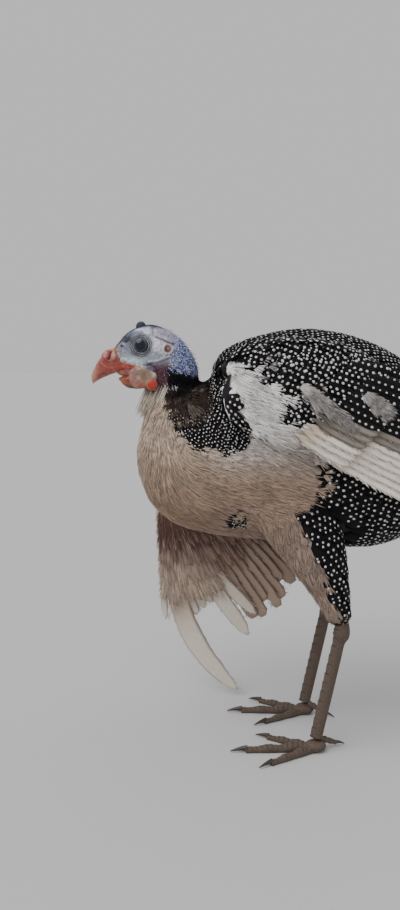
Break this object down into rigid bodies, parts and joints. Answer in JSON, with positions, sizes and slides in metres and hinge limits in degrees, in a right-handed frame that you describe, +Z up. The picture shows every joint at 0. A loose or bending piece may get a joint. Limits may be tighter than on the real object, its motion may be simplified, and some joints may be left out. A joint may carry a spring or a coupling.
{
  "type": "guinea fowl, still standing model",
  "caption": "Life-size young pied guinea fowl standing on both feet, left wing loosely folded, right wing let down beside the breast.",
  "frame": {"origin": "on the floor, under the middle of the whole bird's box", "axes": "+Z up, +X from the bill towards the tail, so the bird faces -X, and +Y to the bird's right, the side of the lowered wing"},
  "size_m": [0.2923, 0.1175, 0.271],
  "materials": {
    "skin": "bare, finely wrinkled grey-blue facial skin with lilac and blue behind the ear",
    "casque": "dull dark slate horn",
    "bill": "brick-red horn, paler at the tip",
    "wattle": "soft bare skin, cream rim and bright red lower edge",
    "eye": "wet dark eye with a brown-grey ring",
    "neck_feathers": "short dark feathers with fine pale dots and whitish throat",
    "body_feathers": "black feathers with round white dots, white breast",
    "wing_feathers": "black dotted coverts with white patches and pale flight feathers",
    "pale_feathers": "pale cream flight feathers with a warm brown base",
    "leg_skin": "scaled dark horn-brown skin",
    "claw": "smooth dark horn"
  },
  "bodies": {
    "root": {"head": "skin", "casque": "casque", "bill_upper": "bill", "bill_lower": "bill", "wattle_left": "wattle", "wattle_right": "wattle", "eye_left": "eye", "eye_right": "eye", "neck": "neck_feathers", "torso": "body_feathers", "tail": "body_feathers", "wing_left": "wing_feathers", "wing_left_hand": "pale_feathers", "wing_right": "wing_feathers", "wing_right_hand": "pale_feathers", "thigh_left": "body_feathers", "shank_left": "leg_skin", "foot_left": "leg_skin", "toe_left_inner": "leg_skin", "claw_left_inner": "claw", "toe_left_middle": "leg_skin", "claw_left_middle": "claw", "toe_left_outer": "leg_skin", "claw_left_outer": "claw", "toe_left_hind": "leg_skin", "claw_left_hind": "claw", "thigh_right": "body_feathers", "shank_right": "leg_skin", "foot_right": "leg_skin", "toe_right_inner": "leg_skin", "claw_right_inner": "claw", "toe_right_middle": "leg_skin", "claw_right_middle": "claw", "toe_right_outer": "leg_skin", "claw_right_outer": "claw", "toe_right_hind": "leg_skin", "claw_right_hind": "claw"}
  },
  "joints": []
}
